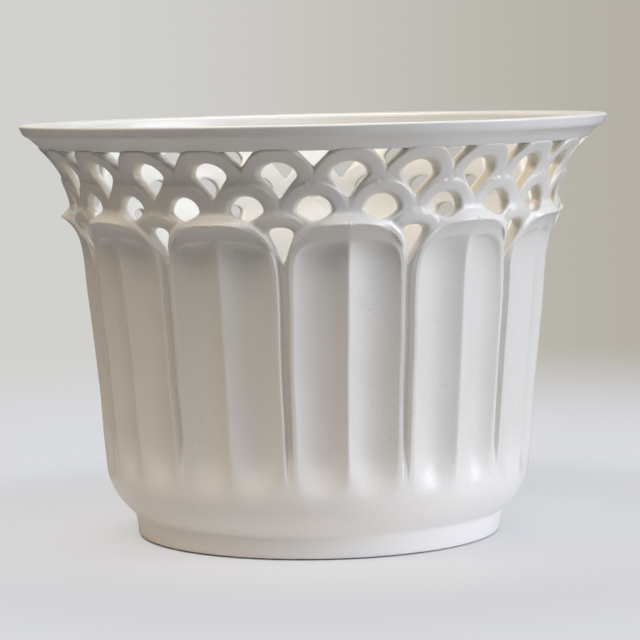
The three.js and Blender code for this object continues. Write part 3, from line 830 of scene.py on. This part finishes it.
def ring_tree():
    """Repeats one petal's patch all the way round the pot and welds the patches together."""
    inputs = [("Petals", "Int"), ("Weld", "Float"), ("Wobble", "Float"), ("Wobble Scale", "Float")]
    tree = Tree("round_the_pot", inputs + [("Seed", "Float")] + COMMON_INPUTS)
    points = tree.add("GeometryNodePoints", Count=tree.given("Petals"))
    index = tree.add("GeometryNodeInputIndex")
    share = tree.math("DIVIDE", index, tree.given("Petals"))
    turn = tree.math("MULTIPLY", share, 2 * math.pi)
    rotation = tree.add("FunctionNodeAxisAngleToRotation", Axis=(0, 0, 1), Angle=turn)
    petal = tree.given("Geometry")
    copies = tree.add("GeometryNodeInstanceOnPoints", Points=points, Instance=petal, Rotation=rotation)
    solid = tree.add("GeometryNodeRealizeInstances", Geometry=copies)
    welded = tree.add("GeometryNodeMergeByDistance", Geometry=solid, Distance=tree.given("Weld"))
    return finish_tree(tree, hand_wobble(tree, welded))


def turning_tree():
    """Turns a profile, given as a row of points, round the pot's axis, as on a wheel."""
    tree = Tree("turned_on_wheel", [("Facets", "Int"), ("Weld", "Float")] + COMMON_INPUTS)
    profile = tree.given("Geometry")
    size = tree.add("GeometryNodeAttributeDomainSize", Geometry=profile)
    count = size.outputs["Point Count"]
    around = tree.math("ADD", tree.given("Facets"), 1)
    grid = tree.add("GeometryNodeMeshGrid", Vertices_X=around, Vertices_Y=count)
    index = tree.add("GeometryNodeInputIndex")
    step = tree.math("FLOOR", tree.math("DIVIDE", tree.math("ADD", index, 0.5), count))
    number = tree.math("SUBTRACT", index, tree.math("MULTIPLY", step, count))
    place = tree.add("GeometryNodeInputPosition")
    sample = tree.add("GeometryNodeSampleIndex", {"data_type": "FLOAT_VECTOR"}, Geometry=profile)
    tree.join(place, next(s for s in sample.inputs if s.name == "Value" and s.enabled))
    tree.join(number, sample.inputs["Index"])
    angle = tree.math("MULTIPLY", tree.math("DIVIDE", step, tree.given("Facets")), 2 * math.pi)
    turned = tree.add("ShaderNodeVectorRotate", {"rotation_type": "Z_AXIS"}, Vector=sample, Angle=angle)
    moved = tree.add("GeometryNodeSetPosition", Geometry=grid, Position=turned)
    solid = tree.add("GeometryNodeRealizeInstances", Geometry=moved)
    welded = tree.add("GeometryNodeMergeByDistance", Geometry=solid, Distance=tree.given("Weld"))
    return finish_tree(tree, welded)


def build_piece(name, mesh, tree, values, nodes, sharp_above=40):
    """Runs a tree on a mesh, turns its result into a plain mesh, and hands it to the frame."""
    source = bpy.data.objects.new(name + "_source", mesh)
    bpy.context.scene.collection.objects.link(source)
    modifier = source.modifiers.new("build", "NODES")
    modifier.node_group = tree
    sockets = {s.name: s.identifier for s in tree.interface.items_tree if s.in_out == "INPUT"}
    for label, value in values.items():
        modifier[sockets[label]] = value
    depsgraph = bpy.context.evaluated_depsgraph_get()
    built = bpy.data.meshes.new_from_object(source.evaluated_get(depsgraph), depsgraph=depsgraph)
    bpy.data.objects.remove(source)
    outward(built)
    built.set_sharp_from_angle(angle=math.radians(sharp_above))
    piece = bpy.data.objects.new(name, built)
    bpy.context.scene.collection.objects.link(piece)
    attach(piece, "root")
    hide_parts(*nodes)


def outward(mesh):
    """Turns all faces of a closed mesh outwards."""
    work = bmesh.new()
    work.from_mesh(mesh)
    bmesh.ops.recalc_face_normals(work, faces=work.faces)
    if work.calc_volume(signed=True) < 0:
        bmesh.ops.reverse_faces(work, faces=work.faces)
    work.to_mesh(mesh)
    work.free()


# Glaze


class Shading(Nodes):
    """The same calls for a material or the world, with a few that only shading needs."""

    def mix(self, share, first, second):
        made = self.add("ShaderNodeMix", {"data_type": "RGBA"})
        for index, value in ((0, share), (6, first), (7, second)):
            self.join(value, made.inputs[index])
        return made.outputs[2]

    def noise(self, place, scale, detail=2.0, roughness=0.5):
        return self.add("ShaderNodeTexNoise", Vector=place, Scale=scale, Detail=detail, Roughness=roughness)

    def attribute(self, name):
        return self.add("ShaderNodeAttribute", {"attribute_name": name}).outputs["Fac"]

    def seen_directly(self):
        """1 for what the camera sees, straight or in a gloss, and 0 for light that falls on the pot."""
        path = self.add("ShaderNodeLightPath").outputs
        glossy = self.math("MAXIMUM", path["Is Glossy Ray"], path["Is Transmission Ray"])
        return self.math("MAXIMUM", path["Is Camera Ray"], glossy)


WHITE = (0.805, 0.793, 0.765, 1)
# Painted light: the rim is whiter than the body, for the light on its top
RIM_WHITE_PAINTED_LIGHT = (0.85, 0.85, 0.835, 1)
# Painted light: the foot is whiter than the body, for the light thrown up from the table
FOOT_WHITE_PAINTED_LIGHT = (0.92, 0.905, 0.885, 1)
LOW_BODY_PAINTED_LIGHT = (0.87, 0.86, 0.845, 1)  # painted light: the plain lower body is whiter, for the light thrown up from the table
LOW_BODY_LIGHT_SETS_IN = 0.050, 0.024  # heights in metres between which that painted light sets in
# Painted light: the ledges over the petals' tops, and their fillets, are whiter, as where light falls from
# above
LEDGE_PAINTED_LIGHT = (0.93, 0.915, 0.885, 1)
# Painted light: the lining is whiter than the outside, for the light that fills the pot's inside
LINING_PAINTED_LIGHT = (0.88, 0.885, 0.87, 1)
POOLED = (0.75, 0.68, 0.53, 1)
CLOUD_TINT = (0.965, 0.955, 0.93)
CRAZE_BROWN = (0.42, 0.36, 0.27, 1)
SPECK_BROWN = (0.13, 0.10, 0.08, 1)
CRAZE_BEND = (0.003, 0.003, 0.003)
CRAZE_CELLS, SPECK_CELLS = 520.0, 70.0  # cells along a metre
SPECKS_IN_CELLS = 0.035  # share of the cells that hold a speck
GLOSS = {"Roughness": 0.32, "IOR": 1.5, "Specular IOR Level": 0.3}
GLOSS.update({"Coat Weight": 0.4, "Coat Roughness": 0.16, "Coat IOR": 1.5})


def glaze(name, colour, crazing, bump):
    """Glossy tin-white glaze: creamy where it pools, finely crazed, over warm clay."""
    material = bpy.data.materials.new(name)
    material.use_nodes = True
    shading = Shading(material.node_tree)
    shader = shading.nodes["Principled BSDF"]
    for socket, value in GLOSS.items():
        shader.inputs[socket].default_value = value
    place = shading.add("ShaderNodeTexCoord").outputs["Object"]
    pool_and_ledge_light, inside = shading.attribute("pool_and_ledge_light"), shading.attribute("inside")

    # Clouds and pools, then painted light that whitens the ledges, the low body and the lining
    clouds = shading.noise(place, 38.0, 3.0).outputs["Fac"]
    clouded = tuple(c * k for c, k in zip(colour[:3], CLOUD_TINT)) + (1,)
    base = shading.mix(shading.ramp(clouds, 0.35, 0.7, 0.0, 0.35, "LINEAR"), colour, clouded)
    patchy = shading.ramp(shading.noise(place, 120.0).outputs["Fac"], 0.3, 0.7, 0.55, 1.0, "LINEAR")
    pools = shading.math("MULTIPLY", shading.math("MAXIMUM", pool_and_ledge_light, 0.0), patchy)
    base = shading.mix(pools, base, POOLED)
    # Painted light on the ledges
    base = shading.mix(shading.math("MULTIPLY", pool_and_ledge_light, -1.0, use_clamp=True), base, LEDGE_PAINTED_LIGHT)
    height = shading.add("ShaderNodeSeparateXYZ", Vector=place).outputs["Z"]
    # Painted light on the plain lower body
    base = shading.mix(shading.ramp(height, *LOW_BODY_LIGHT_SETS_IN), base, LOW_BODY_PAINTED_LIGHT)
    # Painted light on the lining
    base = shading.mix(inside, base, LINING_PAINTED_LIGHT)

    # Crazing, in patches and on the outside only
    warp = shading.noise(place, 160.0).outputs["Color"]
    bent = shading.math("MULTIPLY_ADD", warp, CRAZE_BEND, place, kind="ShaderNodeVectorMath")
    edges = {"feature": "DISTANCE_TO_EDGE"}
    cells = shading.add("ShaderNodeTexVoronoi", edges, Vector=bent, Scale=CRAZE_CELLS)
    lines = shading.ramp(cells.outputs["Distance"], 0.0, 0.05, 1.0, 0.0, "LINEAR")
    patches = shading.ramp(shading.noise(place, 14.0).outputs["Fac"], 0.45, 0.65, 0.0, crazing, "LINEAR")
    outside = shading.math("SUBTRACT", 1.0, inside, use_clamp=True)
    shown = shading.math("MULTIPLY", shading.math("MULTIPLY", lines, patches), outside)
    base = shading.mix(shown, base, CRAZE_BROWN)

    # A few dark specks
    specks = shading.add("ShaderNodeTexVoronoi", Vector=place, Scale=SPECK_CELLS)
    speck = shading.ramp(specks.outputs["Distance"], 0.012, 0.03, 1.0, 0.0, "LINEAR")
    chance = shading.add("ShaderNodeSeparateColor", Color=specks.outputs["Color"]).outputs[0]
    few = shading.math("LESS_THAN", chance, SPECKS_IN_CELLS)
    base = shading.mix(shading.math("MULTIPLY", speck, few), base, SPECK_BROWN)
    shading.join(base, shader.inputs["Base Color"])

    ripple = shading.noise(place, 55.0, 2.0, 0.45).outputs["Fac"]
    uneven = shading.add("ShaderNodeBump", Height=ripple, Strength=bump, Distance=0.002)
    shading.join(uneven, shader.inputs["Normal"])
    shading.join(uneven, shader.inputs["Coat Normal"])
    return material


petal_glaze = glaze("petal_glaze", WHITE, crazing=0.22, bump=0.10)
gallery_glaze = glaze("gallery_glaze", WHITE, crazing=0.06, bump=0.08)
rim_glaze = glaze("rim_glaze", RIM_WHITE_PAINTED_LIGHT, crazing=0.04, bump=0.08)
foot_glaze = glaze("foot_glaze", FOOT_WHITE_PAINTED_LIGHT, crazing=0.06, bump=0.08)
floor_glaze = glaze("floor_glaze", WHITE, crazing=0.10, bump=0.08)

# Pieces
around_pot = ring_tree()
on_wheel = turning_tree()
warp = {"Lean Across": 0.0075, "Lean Back": 0.005}
hand = {"Petals": PETALS, "Weld": 0.00001, "Wobble": 0.0022, "Wobble Scale": 22.0, "Seed": 4.0, **warp}
wheel = {"Facets": 288, "Weld": 0.00001, **warp}
petal_mesh = petal_patch().mesh("petal_wall_patch")
gallery_mesh = gallery_patch().mesh("scale_gallery_patch")
rim_mesh = profile_mesh("rim_glazed_profile", rim_profile())
foot_mesh = profile_mesh("foot_glazed_profile", foot_profile())
floor_mesh = profile_mesh("floor_glazed_profile", floor_profile())
for name, mesh, tree, values, node, slot, material in [
    ("petal_wall_glazed", petal_mesh, around_pot, hand, "petal_wall", "petal_glaze", petal_glaze),
    ("scale_gallery_glazed", gallery_mesh, around_pot, hand, "scale_gallery", "gallery_glaze", gallery_glaze),
    ("rim_glazed", rim_mesh, on_wheel, wheel, "rim_flange", "rim_glaze", rim_glaze),
    ("foot_glazed", foot_mesh, on_wheel, wheel, "foot_ring", "foot_glaze", foot_glaze),
    ("floor_glazed", floor_mesh, on_wheel, wheel, "floor_disc", "floor_glaze", floor_glaze),
]:
    build_piece(name, mesh, tree, {**values, "Material": material}, [node])


# Studio


def stage_mesh(name, corners, faces, material):
    mesh = bpy.data.meshes.new(name)
    mesh.from_pydata(corners, [], faces)
    mesh.materials.append(material)
    stage = bpy.data.objects.new(name, mesh)
    bpy.context.scene.collection.objects.link(stage)


BACKDROP_LEFT = (0.64, 0.635, 0.615, 1)
BACKDROP_RIGHT = (0.455, 0.43, 0.37, 1)
BACKDROP_TURNS = 0.03, 0.28  # X parts of the view's direction between which the backdrop darkens
ROOM_LIGHT = (0.05, 0.046, 0.041, 1)
TABLE_SEEN = (0.70, 0.707, 0.742, 1)
TABLE_NEAR, TABLE_FAR = (0.80, 0.80, 0.81, 1), (0.26, 0.26, 0.265, 1)
TABLE_GLOW = 0.62  # how far the table's own shading gives way to TABLE_SEEN beside the pot
FOOT_SHADOW = 0.0738, 0.0752  # metres from the pot's axis, as are the next two
TABLE_TURNS = 0.10, 0.25
TABLE_FADES = 0.25, 0.80


def table_material():
    """A pale table that keeps the pot's shadow and fades into the backdrop further off."""
    material = bpy.data.materials.new("pale_table")
    material.use_nodes = True
    shading = Shading(material.node_tree)
    shader = shading.nodes["Principled BSDF"]
    shader.inputs["Roughness"].default_value = 0.6
    shader.inputs["Specular IOR Level"].default_value = 0.2
    place = shading.add("ShaderNodeTexCoord").outputs["Object"]
    distance = shading.add("ShaderNodeVectorMath", {"operation": "LENGTH"})
    shading.join(place, distance.inputs[0])
    away = distance.outputs["Value"]
    near = shading.ramp(away, *TABLE_TURNS, 1.0, 0.0)
    shading.join(shading.mix(near, TABLE_FAR, TABLE_NEAR), shader.inputs["Base Color"])
    glow = shading.add("ShaderNodeEmission", Color=TABLE_SEEN)
    share = shading.ramp(away, *TABLE_TURNS, TABLE_GLOW, 1.0)
    share = shading.math("MULTIPLY", share, shading.ramp(away, *FOOT_SHADOW))
    camera = shading.add("ShaderNodeLightPath").outputs["Is Camera Ray"]
    table = shading.add("ShaderNodeMixShader", Fac=shading.math("MULTIPLY", camera, share))
    shading.join(shader, table.inputs[1])
    shading.join(glow, table.inputs[2])
    far = shading.ramp(away, *TABLE_FADES)
    fading = shading.add("ShaderNodeMixShader", Fac=shading.math("MULTIPLY", camera, far))
    shading.join(table, fading.inputs[1])
    shading.join(shading.add("ShaderNodeBsdfTransparent"), fading.inputs[2])
    shading.join(fading, shading.nodes["Material Output"].inputs["Surface"])
    return material


stage_mesh("floor", [(-4, -4, 0), (4, -4, 0), (4, 4, 0), (-4, 4, 0)], [(0, 1, 2, 3)], table_material())


def lamp(name, place, target, size, power, colour=(1, 1, 1)):
    data = bpy.data.lights.new(name, "AREA")
    data.shape, data.size, data.energy, data.color = "DISK", size, power, colour
    light = bpy.data.objects.new(name, data)
    light.location = place
    light.rotation_euler = (Vector(target) - Vector(place)).to_track_quat("-Z", "Y").to_euler()
    bpy.context.scene.collection.objects.link(light)


pot_middle = (0, 0, 0.1)
lamp("high_left", (-0.80, -0.46, 1.41), pot_middle, 0.8, 11.6, (1.0, 0.81, 0.58))
lamp("high_front", (0.0, -0.92, 1.41), pot_middle, 0.8, 7.0, (0.88, 0.92, 1.0))
lamp("window_right", (1.34, -0.60, 0.45), pot_middle, 1.1, 18.6, (0.87, 0.90, 0.985))
lamp("high_back", (0.1, 0.7, 1.4), pot_middle, 0.8, 8.0, (0.95, 1.0, 1.0))


def studio_world():
    """Dim warm room light, and the pale backdrop wherever the camera looks."""
    world = bpy.data.worlds.new("studio")
    bpy.context.scene.world = world
    world.use_nodes = True
    shading = Shading(world.node_tree)
    room = shading.nodes["Background"]
    room.inputs["Color"].default_value = ROOM_LIGHT
    direction = shading.add("ShaderNodeTexCoord").outputs["Generated"]
    across = shading.add("ShaderNodeSeparateXYZ", Vector=direction).outputs["X"]
    shade = shading.mix(shading.ramp(across, *BACKDROP_TURNS), BACKDROP_LEFT, BACKDROP_RIGHT)
    backdrop = shading.add("ShaderNodeBackground", Color=shade)
    both = shading.add("ShaderNodeMixShader", Fac=shading.seen_directly())
    shading.join(room, both.inputs[1])
    shading.join(backdrop, both.inputs[2])
    shading.join(both, shading.nodes["World Output"].inputs["Surface"])


studio_world()

# Camera, as the photograph was taken: a long lens from slightly above the rim
IMAGE_WIDTH = 640
FOCAL_PIXELS = 2600.0
DISTANCE, EYE = 1.070, 0.184
AZIMUTH = math.radians(-7.5)
HORIZON, AXIS_X, ROLL = 84.0, 316.0, math.radians(-0.9)


def photo_camera():
    data = bpy.data.cameras.new("photo_camera")
    data.sensor_width = 36.0
    data.lens = FOCAL_PIXELS / IMAGE_WIDTH * data.sensor_width
    data.dof.use_dof = False
    camera = bpy.data.objects.new("photo_camera", data)
    bpy.context.scene.collection.objects.link(camera)
    place = Vector((math.sin(AZIMUTH) * DISTANCE, -math.cos(AZIMUTH) * DISTANCE, EYE))
    pitch = math.atan((IMAGE_WIDTH / 2 - HORIZON) / FOCAL_PIXELS)
    yaw = math.atan((AXIS_X - IMAGE_WIDTH / 2) / FOCAL_PIXELS)
    turn = Matrix.Rotation(AZIMUTH + yaw, 4, "Z") @ Matrix.Rotation(math.pi / 2 - pitch, 4, "X")
    camera.matrix_world = Matrix.Translation(place) @ turn @ Matrix.Rotation(ROLL, 4, "Z")
    return camera


bpy.context.scene.camera = photo_camera()
bpy.context.scene.view_settings.view_transform = "Standard"
